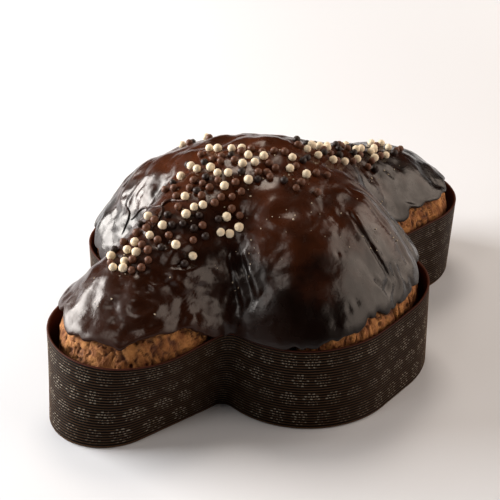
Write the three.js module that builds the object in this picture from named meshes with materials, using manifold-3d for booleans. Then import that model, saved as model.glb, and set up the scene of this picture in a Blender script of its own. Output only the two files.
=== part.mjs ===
// A colomba: a domed festive loaf shaped like a dove, baked in a dark paper case, covered with
// chocolate glaze and sprinkled with chocolate pearls. Millimetres, +Z up. The origin is under the
// middle of the loaf, on the surface that it stands on. The head points to -X, the tail to +X and the
// two wings to -Y and +Y.
import * as THREE from "three";
import { mergeVertices } from "three/addons/utils/BufferGeometryUtils.js";
import Module from "manifold-3d";

// ---------------------------------------------------------------- driving dimensions

const CASE_HEIGHT = 48;
const PAPER_THICKNESS = 1.2;
const FOOT_ROUND = 1.5; // rounding where the wall turns into the floor
const RIM_WAVE = 0.35; // unevenness of the cut edge of the paper

// Each outline is a spine of [x, half width] stations from head to tail, with two wings across it.
const RIM_SPINE = [[-101, 41.7], [-71, 43], [18, 43], [103, 46]];
const RIM_WING = { x: -8, y: 48, halfLength: 15, radius: 49.3, slope: -0.08 };
const BASE_SPINE = [[-119.5, 29.5], [-79, 35.5], [18, 32], [103, 43.7]];
const BASE_WING = { x: -8, y: 48, halfLength: 13, radius: 51.2, slope: -0.08 };
const NOTCH_BLEND = 9; // how softly the wings run into the spine
const CROWN_SOFTENING = 1.5; // how much softer they do so for each millimetre inside the crust's edge
const RIM = { spine: RIM_SPINE, wing: RIM_WING };
const BASE = { spine: BASE_SPINE, wing: BASE_WING };

// The crown is a height over the plan: a steep shoulder inside the rim, then broad mounds.
const CRUST_EDGE_HEIGHT = 43;
const CRUST_EDGE_INSET = 2.6; // from the outer face of the paper
const SHOULDER_WIDTH = 35;
const SHOULDER_POWER = 0.58;
const CROWN_BASE = 22;
const MOUNDS = [
  { x: -11.5, y: 0, height: 48.5, spreadX: 52.5, spreadY: 56 }, // body
  { x: -78, y: 0, height: 4.5, spreadX: 28, spreadY: 26 }, // head
  { x: 83, y: 0, height: 7.5, spreadX: 29, spreadY: 30 }, // tail
];
const LUMPS = [
  { height: 0.7, waveX: 41, waveY: 53, shift: 0.4 },
  { height: 0.5, waveX: 27, waveY: -33, shift: 2.1 },
];
const CREASE = { depth: 2, halfWidth: 7, length: 12 };
const CREASE_STARTS = [[-64, 45, 40], [-64, -45, -40], [50, 45, 140], [50, -45, -140]]; // x, y, heading

// Places round the plan, by angle in degrees, where the paper stands off the crust.
const PAPER_STANDS_OFF = [
  { angle: 172, spread: 13, amount: 3.0 },
  { angle: -68, spread: 13, amount: 3.6 },
  { angle: -8, spread: 11, amount: 3.2 },
  { angle: 112, spread: 16, amount: 2.5 },
  { angle: 35, spread: 10, amount: 2.0 },
];

// Crags run down the crust between the paper and the glaze.
const CRAG_DEPTH = 1.1;
const CRAG_COUNTS = [37, 23, 61];

// The glaze ends above the paper in an uneven edge: how much crust it leaves bare, by angle.
const GLAZE_THICKNESS = 2.4;
const LIP_BULGE = 0.9; // the rounded edge of the glaze stands out by this
const LIP_HEIGHT = 0.6; // as a share of the glaze's thickness
const FIT_GAP = 0.4;
const BARE_CRUST = 2.4;
const BARE_CRUST_LEAST = 0.9;
const BARE_CRUST_CHANGES = [
  { angle: 180, spread: 22, amount: 1.6 },
  { angle: -162, spread: 8, amount: 1.6 },
  { angle: -146, spread: 8, amount: -3.2 },
  { angle: -128, spread: 11, amount: -3.0 },
  { angle: -14, spread: 9, amount: 2.0 },
  { angle: 140, spread: 14, amount: -1.6 },
  { angle: 60, spread: 18, amount: 1.2 },
];
const EDGE_WAVES = [{ count: 9, amount: 0.55 }, { count: 17, amount: 0.45 }, { count: 31, amount: 0.35 }];

// Chocolate pearls lie along the spine. They are strewn in patches, largest kind first, and each patch
// takes so many white, milk and dark ones.
const PEARL_RADII = [2.3, 2.05, 2.0];
const PEARL_SINK = 0.9;
const PEARL_PATCHES = [
  { x: -95, y: 1, halfX: 13, halfY: 11, counts: [8, 9, 6] },
  { x: -78, y: -6, halfX: 8, halfY: 18, counts: [4, 5, 6] },
  { x: -56, y: -10, halfX: 14, halfY: 15, counts: [5, 13, 7] },
  { x: -30, y: -8, halfX: 17, halfY: 15, counts: [10, 11, 7] },
  { x: -38, y: 13, halfX: 20, halfY: 8, counts: [5, 3, 3] },
  { x: -8, y: -28, halfX: 17, halfY: 16, counts: [3, 11, 3] },
  { x: -53, y: -25, halfX: 8, halfY: 6, counts: [4, 1, 1] },
  { x: 32, y: -12, halfX: 20, halfY: 11, counts: [8, 5, 6] },
  { x: 70, y: -8, halfX: 20, halfY: 12, counts: [9, 7, 6] },
  { x: 100, y: -3, halfX: 12, halfY: 9, counts: [3, 3, 1] },
  { x: 10, y: 50, halfX: 26, halfY: 7, counts: [2, 2, 2] },
];
const PEARL_SEED = 7321;
const TRIES_PER_PEARL = 40;

const SIDES = 90;
const CROWN_RINGS = [0.95, 0.84, 0.7, 0.55, 0.4, 0.26, 0.12];
const CRUST_RINGS = [0.35, 0.7];
const OUTLINE_HALVINGS = 30;
const FARTHEST = 200;
const PEARL_SPREAD = 0.6; // 0.5 strews a patch evenly and more gathers it towards the middle
const SLOPE_STEP = 0.05;

// ---------------------------------------------------------------- plan outline

/** Distance outside a capsule whose radius changes from one end to the other. */
function taperedDistance(x, y, [startX, startRadius], [endX, endRadius]) {
  const length = endX - startX;
  const lean = (startRadius - endRadius) / length;
  const rise = Math.sqrt(1 - lean * lean);
  const along = x - startX;
  const across = Math.abs(y);
  const place = rise * along - lean * across;
  if (place < 0) return Math.hypot(along, across) - startRadius;
  if (place > rise * length) return Math.hypot(along - length, across) - endRadius;
  return rise * across + lean * along - startRadius;
}

/** Distance outside one wing, a short capsule across the spine. */
function wingDistance(x, y, wing) {
  const drop = wing.slope * wing.halfLength;
  const stretch = wing.halfLength * wing.halfLength + drop * drop;
  const offX = x - wing.x;
  const offY = Math.abs(y) - wing.y;
  const place = (offX * wing.halfLength + offY * drop) / stretch;
  const t = THREE.MathUtils.clamp(place, -1, 1);
  return Math.hypot(offX - t * wing.halfLength, offY - t * drop) - wing.radius;
}

/** Union of two distances whose inner corner is rounded over a width. */
function smoothUnion(a, b, width) {
  const t = THREE.MathUtils.clamp(0.5 + (0.5 * (b - a)) / width, 0, 1);
  return THREE.MathUtils.lerp(b, a, t) - width * t * (1 - t);
}

/** Distance outside the whole plan outline, which is negative inside, with its notches rounded by a blend. */
function outlineDistance(x, y, outline, blend = NOTCH_BLEND) {
  let spine = Infinity;
  for (let i = 0; i + 1 < outline.spine.length; i++) {
    spine = Math.min(spine, taperedDistance(x, y, outline.spine[i], outline.spine[i + 1]));
  }
  return smoothUnion(wingDistance(x, y, outline.wing), spine, blend);
}

/** Radius at an angle of the outline moved inwards by an inset, found by halving. */
function outlineRadius(angle, outline, inset) {
  let inner = 0;
  let outer = FARTHEST;
  for (let i = 0; i < OUTLINE_HALVINGS; i++) {
    const middle = (inner + outer) / 2;
    const x = middle * Math.cos(angle);
    const y = middle * Math.sin(angle);
    if (outlineDistance(x, y, outline) < -inset) inner = middle;
    else outer = middle;
  }
  return inner;
}

/** Sum of soft bumps round the plan, each { angle, spread, amount } in degrees and millimetres. */
function bumpsAt(angle, bumps) {
  let sum = 0;
  for (const bump of bumps) {
    const offset = angle * THREE.MathUtils.RAD2DEG - bump.angle;
    const turn = THREE.MathUtils.euclideanModulo(offset + 180, 360) - 180;
    sum += bump.amount * Math.exp(-0.5 * (turn / bump.spread) ** 2);
  }
  return sum;
}

// ---------------------------------------------------------------- crown of the loaf

/** How far inside the outer face of the paper the crust ends, at an angle. */
function crustInset(angle) {
  return CRUST_EDGE_INSET + bumpsAt(angle, PAPER_STANDS_OFF);
}

/** Depth of the creases that run in from the four notches. */
function creaseDepth(x, y) {
  let depth = 0;
  for (const [startX, startY, heading] of CREASE_STARTS) {
    const turn = heading * THREE.MathUtils.DEG2RAD;
    const along = (x - startX) * Math.cos(turn) - (y - startY) * Math.sin(turn);
    const across = (x - startX) * Math.sin(turn) + (y - startY) * Math.cos(turn);
    const fade = Math.exp(-0.5 * (along / CREASE.length) ** 2);
    depth += CREASE.depth * fade * Math.exp(-0.5 * (across / CREASE.halfWidth) ** 2);
  }
  return depth;
}

/** Height of the loaf under the glaze at a point of the plan. Further in, the wings blend more softly. */
function crownHeight(x, y) {
  const inset = crustInset(Math.atan2(y, x));
  const deep = Math.max(-outlineDistance(x, y, RIM) - inset, 0);
  const inside = -outlineDistance(x, y, RIM, NOTCH_BLEND + CROWN_SOFTENING * deep) - inset;
  const shoulder = THREE.MathUtils.clamp(inside / SHOULDER_WIDTH, 0, 1);
  let swell = CROWN_BASE;
  for (const mound of MOUNDS) {
    const reach = ((x - mound.x) / mound.spreadX) ** 2 + ((y - mound.y) / mound.spreadY) ** 2;
    swell += mound.height * Math.exp(-0.5 * reach);
  }
  for (const lump of LUMPS) {
    const phase = 2 * Math.PI * (x / lump.waveX + y / lump.waveY) + lump.shift;
    swell += lump.height * Math.sin(phase) * Math.cos((2 * Math.PI * y) / lump.waveY);
  }
  swell -= creaseDepth(x, y);
  return CRUST_EDGE_HEIGHT + swell * (1 - (1 - shoulder) ** 2) ** SHOULDER_POWER;
}

/** Point above the crown at a plan position, lifted along the surface's own normal. */
function crownPoint(x, y, lift) {
  const z = crownHeight(x, y);
  const slopeX = (crownHeight(x + SLOPE_STEP, y) - crownHeight(x - SLOPE_STEP, y)) / (2 * SLOPE_STEP);
  const slopeY = (crownHeight(x, y + SLOPE_STEP) - crownHeight(x, y - SLOPE_STEP)) / (2 * SLOPE_STEP);
  const normal = new THREE.Vector3(-slopeX, -slopeY, 1).normalize();
  return new THREE.Vector3(x, y, z).addScaledVector(normal, lift);
}

/** How much crust the glaze leaves bare above the paper, at an angle. */
function bareCrust(angle) {
  let width = BARE_CRUST + bumpsAt(angle, BARE_CRUST_CHANGES);
  EDGE_WAVES.forEach((wave, i) => {
    width += wave.amount * Math.sin(wave.count * angle + i);
  });
  return Math.max(width, BARE_CRUST_LEAST);
}

/** Radius at an angle of the line where the glaze ends on the crust. */
function glazeRadius(angle) {
  return outlineRadius(angle, RIM, crustInset(angle) + bareCrust(angle));
}

/** Depth of the crags in the bare crust, at an angle and a share of the way up. */
function cragDepth(angle, share) {
  const [coarse, middle, fine] = CRAG_COUNTS;
  const furrow = Math.sin(coarse * angle + 2 * share) * Math.sin(middle * angle);
  return CRAG_DEPTH * (0.5 + 0.3 * furrow + 0.2 * Math.sin(fine * angle + 5 * share));
}

// ---------------------------------------------------------------- meshes from rings

/** One closed body from rings that run from a first pole, out and over, to a last pole. */
function ringBody(firstPole, rings, lastPole) {
  const points = [firstPole, ...rings.flat(), lastPole];
  const at = (ring, side) => 1 + ring * SIDES + (side % SIDES);
  const last = points.length - 1;
  const indices = [];
  for (let side = 0; side < SIDES; side++) {
    indices.push(0, at(0, side + 1), at(0, side));
    for (let ring = 0; ring + 1 < rings.length; ring++) {
      const a = at(ring, side);
      const b = at(ring, side + 1);
      const c = at(ring + 1, side + 1);
      const d = at(ring + 1, side);
      // The diagonal runs from the lower ring to the next point of the higher ring, so that two
      // surfaces that lie close together are split alike.
      if (points[d].z < points[a].z) indices.push(a, b, d, b, c, d);
      else indices.push(a, b, c, a, c, d);
    }
    indices.push(at(rings.length - 1, side), at(rings.length - 1, side + 1), last);
  }
  const geometry = new THREE.BufferGeometry().setFromPoints(points);
  geometry.setIndex(indices);
  return geometry;
}

/** A ring of points, one for each side, from a function of the angle. */
function ringOf(pointAt) {
  return Array.from({ length: SIDES }, (_, side) => pointAt((2 * Math.PI * side) / SIDES));
}

/** Point of the case's wall at an angle and a height, moved inwards by an inset. */
function wallPoint(angle, height, inset) {
  const share = THREE.MathUtils.clamp(height / CASE_HEIGHT, 0, 1);
  const base = outlineRadius(angle, BASE, inset);
  const rim = outlineRadius(angle, RIM, inset);
  const radius = THREE.MathUtils.lerp(base, rim, share);
  return new THREE.Vector3(radius * Math.cos(angle), radius * Math.sin(angle), height);
}

// ---------------------------------------------------------------- the three parts

/** The paper case: a flat floor and an upright wall, open at the top. */
function paperCase() {
  const rimHeight = (angle) => CASE_HEIGHT + RIM_WAVE * (Math.sin(5 * angle + 1) + Math.sin(9 * angle) - 2);
  const rings = [
    ringOf((angle) => wallPoint(angle, 0, FOOT_ROUND)),
    ringOf((angle) => wallPoint(angle, FOOT_ROUND, 0)),
    ringOf((angle) => wallPoint(angle, rimHeight(angle), 0)),
    ringOf((angle) => wallPoint(angle, rimHeight(angle), PAPER_THICKNESS)),
    ringOf((angle) => wallPoint(angle, PAPER_THICKNESS + FOOT_ROUND, PAPER_THICKNESS)),
    ringOf((angle) => wallPoint(angle, PAPER_THICKNESS, PAPER_THICKNESS + FOOT_ROUND)),
  ];
  return ringBody(new THREE.Vector3(), rings, new THREE.Vector3(0, 0, PAPER_THICKNESS));
}

/** The rings of the crown inside the glaze's edge, from the edge to the middle. */
function crownRings(lift) {
  return [1, ...CROWN_RINGS].map((share) =>
    ringOf((angle) => {
      const radius = share * glazeRadius(angle);
      return crownPoint(radius * Math.cos(angle), radius * Math.sin(angle), lift);
    }),
  );
}

/** The loaf: it fills the case, and its craggy crust rises out of it under the glaze. */
function cake() {
  const floor = PAPER_THICKNESS + FIT_GAP;
  const clear = PAPER_THICKNESS + 2 * FIT_GAP;
  const edgeRing = ringOf((angle) => {
    const wall = wallPoint(angle, CRUST_EDGE_HEIGHT, clear);
    const reach = Math.min(1, outlineRadius(angle, RIM, crustInset(angle)) / Math.hypot(wall.x, wall.y));
    return new THREE.Vector3(reach * wall.x, reach * wall.y, CRUST_EDGE_HEIGHT);
  });
  const crustRings = CRUST_RINGS.map((share) =>
    ringOf((angle) => {
      const radius = outlineRadius(angle, RIM, crustInset(angle) + share * bareCrust(angle));
      return crownPoint(radius * Math.cos(angle), radius * Math.sin(angle), -cragDepth(angle, share));
    }),
  );
  const rings = [
    ringOf((angle) => wallPoint(angle, floor, clear + 2 * FOOT_ROUND)),
    ringOf((angle) => wallPoint(angle, floor + 2 * FOOT_ROUND, clear)),
    edgeRing,
    ...crustRings,
    ...crownRings(0),
  ];
  return ringBody(new THREE.Vector3(0, 0, floor), rings, crownPoint(0, 0, 0));
}

/** The bare skin of glaze over the crown, with a rounded lip. */
function glazeSkin() {
  const top = FIT_GAP + GLAZE_THICKNESS;
  const lip = ringOf((angle) => {
    const radius = glazeRadius(angle);
    const lift = FIT_GAP + LIP_HEIGHT * GLAZE_THICKNESS;
    const outwards = new THREE.Vector3(Math.cos(angle), Math.sin(angle), -1).normalize();
    const edge = crownPoint(radius * Math.cos(angle), radius * Math.sin(angle), lift);
    return edge.addScaledVector(outwards, LIP_BULGE);
  });
  const rings = [...crownRings(FIT_GAP).reverse(), lip, ...crownRings(top)];
  return ringBody(crownPoint(0, 0, FIT_GAP), rings, crownPoint(0, 0, top));
}

/** A repeatable stream of numbers from 0 to 1. */
function numberStream(seed) {
  let state = seed;
  return () => {
    state = (Math.imul(state, 1664525) + 1013904223) >>> 0;
    return state / 2 ** 32;
  };
}

/** Places of the pearls: each patch is filled by draws that keep clear of the pearls before them. */
function pearlPlaces() {
  const draw = numberStream(PEARL_SEED);
  const placed = [];
  PEARL_RADII.forEach((radius, kind) => {
    for (const patch of PEARL_PATCHES) {
      const wanted = patch.counts[kind];
      let found = 0;
      for (let attempt = 0; attempt < TRIES_PER_PEARL * wanted && found < wanted; attempt++) {
        const turn = 2 * Math.PI * draw();
        const reach = draw() ** PEARL_SPREAD;
        const x = patch.x + patch.halfX * reach * Math.cos(turn);
        const y = patch.y + patch.halfY * reach * Math.sin(turn);
        const clear = placed.every((p) => Math.hypot(p.x - x, p.y - y) > p.radius + radius);
        if (clear) {
          placed.push({ x, y, radius });
          found += 1;
        }
      }
    }
  });
  return placed;
}

// ---------------------------------------------------------------- joining

const wasm = await Module();
wasm.setup();

/** A closed geometry as a solid that can be joined to others. */
function solidOf(geometry) {
  const bare = geometry.clone();
  bare.deleteAttribute("normal");
  bare.deleteAttribute("uv");
  const merged = mergeVertices(bare);
  const vertProperties = new Float32Array(merged.attributes.position.array);
  const triVerts = new Uint32Array(merged.index.array);
  return new wasm.Manifold(new wasm.Mesh({ numProp: 3, vertProperties, triVerts }));
}

/** The geometry of a joined solid. */
function geometryOf(solid) {
  const { vertProperties, triVerts } = solid.getMesh();
  const geometry = new THREE.BufferGeometry();
  geometry.setAttribute("position", new THREE.BufferAttribute(vertProperties, 3));
  geometry.setIndex(new THREE.BufferAttribute(triVerts, 1));
  return geometry;
}

/** The glaze with every pearl fused into its surface. */
function chocolateGlaze() {
  const skin = glazeSkin();
  const surface = new THREE.Mesh(skin, new THREE.MeshBasicMaterial({ side: THREE.DoubleSide }));
  const down = new THREE.Vector3(0, 0, -1);
  let solid = solidOf(skin);
  for (const pearl of pearlPlaces()) {
    const above = new THREE.Vector3(pearl.x, pearl.y, FARTHEST);
    const hit = new THREE.Raycaster(above, down).intersectObject(surface)[0];
    const ball = new THREE.IcosahedronGeometry(pearl.radius, 0);
    const centre = hit.point.addScaledVector(hit.face.normal, pearl.radius - PEARL_SINK);
    ball.translate(centre.x, centre.y, centre.z);
    solid = solid.add(solidOf(ball));
  }
  return geometryOf(solid);
}

/** A named part with its own material. */
function part(name, geometry, color, roughness) {
  geometry.computeVertexNormals();
  const material = new THREE.MeshStandardMaterial({ color, roughness, metalness: 0 });
  const mesh = new THREE.Mesh(geometry, material);
  mesh.name = name;
  return mesh;
}

const colomba = new THREE.Group();
colomba.add(part("paper_case", paperCase(), 0x2e211b, 0.8));
colomba.add(part("cake", cake(), 0xb87a41, 0.9));
colomba.add(part("chocolate_glaze", chocolateGlaze(), 0x2a140c, 0.2));

export default colomba;
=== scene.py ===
"""Looks of a chocolate-glazed colomba in its paper case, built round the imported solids.

The loaf lies with its head to -X, its tail to +X and its wings to -Y and +Y. Shapes are worked out in
millimetres and turned to metres when a mesh is made.
"""

import itertools
import math

import bmesh
import bpy
import numpy as np
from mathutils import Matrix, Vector


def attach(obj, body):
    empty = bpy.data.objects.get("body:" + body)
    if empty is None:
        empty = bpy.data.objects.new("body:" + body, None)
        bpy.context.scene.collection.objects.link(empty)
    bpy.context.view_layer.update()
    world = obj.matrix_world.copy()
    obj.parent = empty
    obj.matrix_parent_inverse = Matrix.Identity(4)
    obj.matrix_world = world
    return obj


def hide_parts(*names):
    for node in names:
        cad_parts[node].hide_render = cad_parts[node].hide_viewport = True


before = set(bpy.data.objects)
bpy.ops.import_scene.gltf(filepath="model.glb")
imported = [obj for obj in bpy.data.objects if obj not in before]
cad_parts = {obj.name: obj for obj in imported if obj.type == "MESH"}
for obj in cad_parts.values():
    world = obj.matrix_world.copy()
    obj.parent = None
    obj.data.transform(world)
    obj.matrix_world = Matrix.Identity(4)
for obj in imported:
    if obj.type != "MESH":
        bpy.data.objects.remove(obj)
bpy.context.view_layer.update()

MM = 0.001

# ---------------------------------------------------------------- sizes shared with the solids, mm

CASE_HEIGHT = 48.0
PAPER_THICKNESS = 1.2
FOOT_ROUND = 1.5
RIM_WAVE = 0.35
RIM = {
    "spine": ((-101, 41.7), (-71, 43), (18, 43), (103, 46)),
    "wing": {"x": -8, "y": 48, "half_length": 15, "radius": 49.3, "slope": -0.08},
}
BASE = {
    "spine": ((-119.5, 29.5), (-79, 35.5), (18, 32), (103, 43.7)),
    "wing": {"x": -8, "y": 48, "half_length": 13, "radius": 51.2, "slope": -0.08},
}
NOTCH_BLEND = 9.0
CROWN_SOFTENING = 1.5

CRUST_EDGE_HEIGHT = 43.0
CRUST_EDGE_INSET = 2.6
SHOULDER_WIDTH = 35.0
SHOULDER_POWER = 0.58
CROWN_BASE = 22.0
# Each mound: x, height, spread along x, spread along y.
MOUNDS = ((-11.5, 48.5, 52.5, 56), (-78, 4.5, 28, 26), (83, 7.5, 29, 30))
# Each lump: height, wave along x, wave along y, shift.
LUMPS = ((0.7, 41, 53, 0.4), (0.5, 27, -33, 2.1))
CREASE_DEPTH, CREASE_HALF_WIDTH, CREASE_LENGTH = 2.0, 7.0, 12.0
CREASE_STARTS = ((-64, 45, 40), (-64, -45, -40), (50, 45, 140), (50, -45, -140))

# Soft bumps round the plan: angle in degrees, spread in degrees, amount in millimetres.
PAPER_STANDS_OFF = ((172, 13, 3.0), (-68, 13, 3.6), (-8, 11, 3.2), (112, 16, 2.5), (35, 10, 2.0))
BARE_CRUST = 2.4
BARE_CRUST_LEAST = 0.9
BARE_CRUST_CHANGES = (
    (180, 22, 1.6),
    (-162, 8, 1.6),
    (-146, 8, -3.2),
    (-128, 11, -3.0),
    (-14, 9, 2.0),
    (140, 14, -1.6),
    (60, 18, 1.2),
)
EDGE_WAVES = ((9, 0.55), (17, 0.45), (31, 0.35))
GLAZE_THICKNESS = 2.4
FIT_GAP = 0.4

PEARL_KINDS = (("white", 2.3), ("milk", 2.05), ("dark", 2.0))
PEARL_SINK = 0.9
# Each patch: x, y, half size along x, half size along y, and how many of each kind.
PEARL_PATCHES = (
    (-95, 1, 13, 11, (8, 9, 6)),
    (-78, -6, 8, 18, (4, 5, 6)),
    (-56, -10, 14, 15, (5, 13, 7)),
    (-30, -8, 17, 15, (10, 11, 7)),
    (-38, 13, 20, 8, (5, 3, 3)),
    (-8, -28, 17, 16, (3, 11, 3)),
    (-53, -25, 8, 6, (4, 1, 1)),
    (32, -12, 20, 11, (8, 5, 6)),
    (70, -8, 20, 12, (9, 7, 6)),
    (100, -3, 12, 9, (3, 3, 1)),
    (10, 50, 26, 7, (2, 2, 2)),
)
PEARL_SEED = 7321
TRIES_PER_PEARL = 40

# ---------------------------------------------------------------- fine sizes of the visible surfaces, mm

CASE_SIDES = 560
RIBS, RIB_STEPS, RIB_DEPTH = 29, 4, 0.6
RAW_EDGE = 1.0
ROSETTE_ROWS, ROSETTE_WIDTH, ROSETTE_PETALS = 4, 11.4, 10.0
PEARL_SHADE = 0.78  # the darkest parts of a pearl against its colour
GLOSSY, SMUDGED, DULL_LIP = 0.19, 0.33, 0.44  # roughness of the glaze
SHINE, LIP_SHINE = 0.36, 0.1  # specular level of the glaze
GLAZE_SIDES, GLAZE_RINGS = 640, 138
GLAZE_RING_POWER = 1.15
LIP_REACH = 1.3
NOTCH_RUNS = ((-152, 5, 4.0), (-142, 6, 1.5))  # where the glaze ran down into the notch
LOAF_SIDES, LOAF_RINGS = 1500, 40

# ---------------------------------------------------------------- colours

# The second chocolate colour is painted light: lit brown, painted on the high crown and over the head.
THICK_CHOCOLATE, LIT_CHOCOLATE_BROWN = "#100704", "#45210f"
# The crack colour is painted shade, laid in the cracks and pits.
CRUST_BROWN, CRUST_GOLD, CRUST_CRACK_SHADE = "#7d4921", "#b07841", "#47220e"
# The crest colour is painted highlight along the ribs.
PAPER_DARK, PAPER_LIGHT, PAPER_CREST_HIGHLIGHT = "#030201", "#0b0705", "#463221"
PALE_PRINT, RAW_PAPER = "#8a8072", "#45241a"
PEARL_COLOURS = {"white": "#f5e4c6", "milk": "#633d29", "dark": "#24120b"}
DUST = "#cfc0a8"
FLOOR_PALE, FLOOR_GLOW, WORLD_DARK = "#dfe4eb", "#ffffff", "#0e0e10"

# ---------------------------------------------------------------- plan outline


def tapered_distance(x, y, start, end):
    """Distance outside a capsule along x whose radius changes from its start to its end."""
    (start_x, start_radius), (end_x, end_radius) = start, end
    length = end_x - start_x
    lean = (start_radius - end_radius) / length
    rise = math.sqrt(1 - lean * lean)
    along, across = x - start_x, np.abs(y)
    place = rise * along - lean * across
    side = rise * across + lean * along - start_radius
    side = np.where(place < 0, np.hypot(along, across) - start_radius, side)
    return np.where(place > rise * length, np.hypot(along - length, across) - end_radius, side)


def wing_distance(x, y, wing):
    """Distance outside a short capsule across the spine, mirrored in y."""
    half = wing["half_length"]
    drop = wing["slope"] * half
    off_x, off_y = x - wing["x"], np.abs(y) - wing["y"]
    place = np.clip((off_x * half + off_y * drop) / (half * half + drop * drop), -1, 1)
    return np.hypot(off_x - place * half, off_y - place * drop) - wing["radius"]


def outline_distance(x, y, outline, blend=NOTCH_BLEND):
    """Distance outside the plan outline: wings and spine joined by a smooth union over a blend length."""
    stations = outline["spine"]
    pairs = zip(stations[:-1], stations[1:])
    spine = np.minimum.reduce([tapered_distance(x, y, start, end) for start, end in pairs])
    wings = wing_distance(x, y, outline["wing"])
    share = np.clip(0.5 + 0.5 * (spine - wings) / blend, 0, 1)
    return spine * (1 - share) + wings * share - blend * share * (1 - share)


def outline_radius(angle, outline, inset, halvings=30, farthest=200.0):
    """Radius at each angle of the outline moved inwards by an inset, found by halving."""
    inner, outer = np.zeros_like(angle), np.full_like(angle, farthest)
    for _ in range(halvings):
        middle = (inner + outer) / 2
        inside = outline_distance(middle * np.cos(angle), middle * np.sin(angle), outline) < -inset
        inner, outer = np.where(inside, middle, inner), np.where(inside, outer, middle)
    return inner


def bumps_at(angle, bumps):
    """Sum of bell curves of the turn from each bump's angle."""
    total = 0
    for centre, spread, amount in bumps:
        turn = (np.degrees(angle) - centre + 180) % 360 - 180
        total = total + amount * np.exp(-0.5 * (turn / spread) ** 2)
    return total


def angles(sides):
    """Even turns round the plan."""
    return np.linspace(0, 2 * np.pi, sides, endpoint=False)


def round_points(angle, radius, height):
    """Points at a radius and height for each angle."""
    return np.stack([radius * np.cos(angle), radius * np.sin(angle), height + 0 * angle], axis=-1)


# ---------------------------------------------------------------- crown of the loaf


def crust_inset(angle):
    """How far inside the paper's outer face the crust ends."""
    return CRUST_EDGE_INSET + bumps_at(angle, PAPER_STANDS_OFF)


def crease_depth(x, y):
    """Depth of the creases at the notches: bell curves across and along a heading."""
    depth = np.zeros_like(x)
    for start_x, start_y, heading in CREASE_STARTS:
        turn = math.radians(heading)
        along = (x - start_x) * math.cos(turn) - (y - start_y) * math.sin(turn)
        across = (x - start_x) * math.sin(turn) + (y - start_y) * math.cos(turn)
        bell = (along / CREASE_LENGTH) ** 2 + (across / CREASE_HALF_WIDTH) ** 2
        depth += CREASE_DEPTH * np.exp(-0.5 * bell)
    return depth


def crown_height(x, y):
    """Height of the loaf: broad mounds times a quarter-oval shoulder in the distance from the paper.

    The wings run into the spine over a length that grows with that distance.
    """
    inset = crust_inset(np.arctan2(y, x))
    deep = np.maximum(-outline_distance(x, y, RIM) - inset, 0)
    inside = -outline_distance(x, y, RIM, NOTCH_BLEND + CROWN_SOFTENING * deep) - inset
    shoulder = np.clip(inside / SHOULDER_WIDTH, 0, 1)
    swell = np.full_like(x, CROWN_BASE)
    for centre, height, spread_x, spread_y in MOUNDS:
        swell += height * np.exp(-0.5 * (((x - centre) / spread_x) ** 2 + (y / spread_y) ** 2))
    for height, wave_x, wave_y, shift in LUMPS:
        phase = 2 * np.pi * (x / wave_x + y / wave_y) + shift
        swell += height * np.sin(phase) * np.cos(2 * np.pi * y / wave_y)
    swell -= crease_depth(x, y)
    return CRUST_EDGE_HEIGHT + swell * (1 - (1 - shoulder) ** 2) ** SHOULDER_POWER


def crown_surface(x, y, step=0.05):
    """Points of the crown over a plan and its unit normals, from the slopes along x and y."""
    z = crown_height(x, y)
    slope_x = (crown_height(x + step, y) - crown_height(x - step, y)) / (2 * step)
    slope_y = (crown_height(x, y + step) - crown_height(x, y - step)) / (2 * step)
    normal = np.stack([-slope_x, -slope_y, np.ones_like(z)], axis=-1)
    normal /= np.linalg.norm(normal, axis=-1, keepdims=True)
    return np.stack([x, y, z], axis=-1), normal


def bare_crust(angle):
    """How much crust the glaze leaves bare above the paper, with a wavy edge."""
    waves = sum(amount * np.sin(count * angle + i) for i, (count, amount) in enumerate(EDGE_WAVES))
    return np.maximum(BARE_CRUST + bumps_at(angle, BARE_CRUST_CHANGES) + waves, BARE_CRUST_LEAST)


def glaze_radius(angle):
    """Radius of the line where the glaze ends."""
    return outline_radius(angle, RIM, crust_inset(angle) + bare_crust(angle))


# ---------------------------------------------------------------- noise


def lattice_noise(points, cell, seed):
    """Smooth noise from -1 to 1: hashed values at lattice corners, blended by a soft step."""
    place = points / np.asarray(cell, float)
    corner0 = np.floor(place).astype(np.int64)
    part = place - corner0
    part = part ** 3 * (part * (part * 6 - 15) + 10)
    total = np.zeros(points.shape[:-1])
    for corner in itertools.product((0, 1), repeat=3):
        x, y, z = np.moveaxis(corner0 + corner, -1, 0)
        code = (x * 73856093) ^ (y * 19349663) ^ (z * 83492791) ^ (seed * 265443576)
        code = ((code ^ (code >> 13)) * 1274126177) & 0xFFFFFFFF
        value = ((code ^ (code >> 15)) & 0xFFFF) / 32767.5 - 1
        weight = np.where(corner, part, 1 - part).prod(axis=-1)
        total += weight * value
    return total


def noise_sum(points, waves):
    """Sum of noises, each wave with its height, its size in millimetres and its seed."""
    return sum(height * lattice_noise(points, size, seed) for height, size, seed in waves)


def number_stream(seed):
    """A repeatable stream of numbers from 0 to 1."""
    state = seed
    while True:
        state = (state * 1664525 + 1013904223) & 0xFFFFFFFF
        yield state / 2**32


# ---------------------------------------------------------------- mesh makers


def mesh_piece(name, points, faces, material, corner_uv=None, marks=None):
    """One object from points in millimetres and index faces, with optional corner UVs and point values."""
    mesh = bpy.data.meshes.new(name)
    mesh.from_pydata((points * MM).tolist(), [], faces)
    mesh.polygons.foreach_set("use_smooth", np.ones(len(mesh.polygons), bool))
    if corner_uv is not None:
        mesh.uv_layers.new(name="paper").data.foreach_set("uv", corner_uv.astype(np.float32).ravel())
    for mark, values in (marks or {}).items():
        mesh.attributes.new(mark, "FLOAT", "POINT").data.foreach_set("value", values.astype(np.float32))
    mesh.materials.append(material)
    mesh.update()
    piece = bpy.data.objects.new(name, mesh)
    bpy.context.scene.collection.objects.link(piece)
    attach(piece, "root")
    return piece


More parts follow.
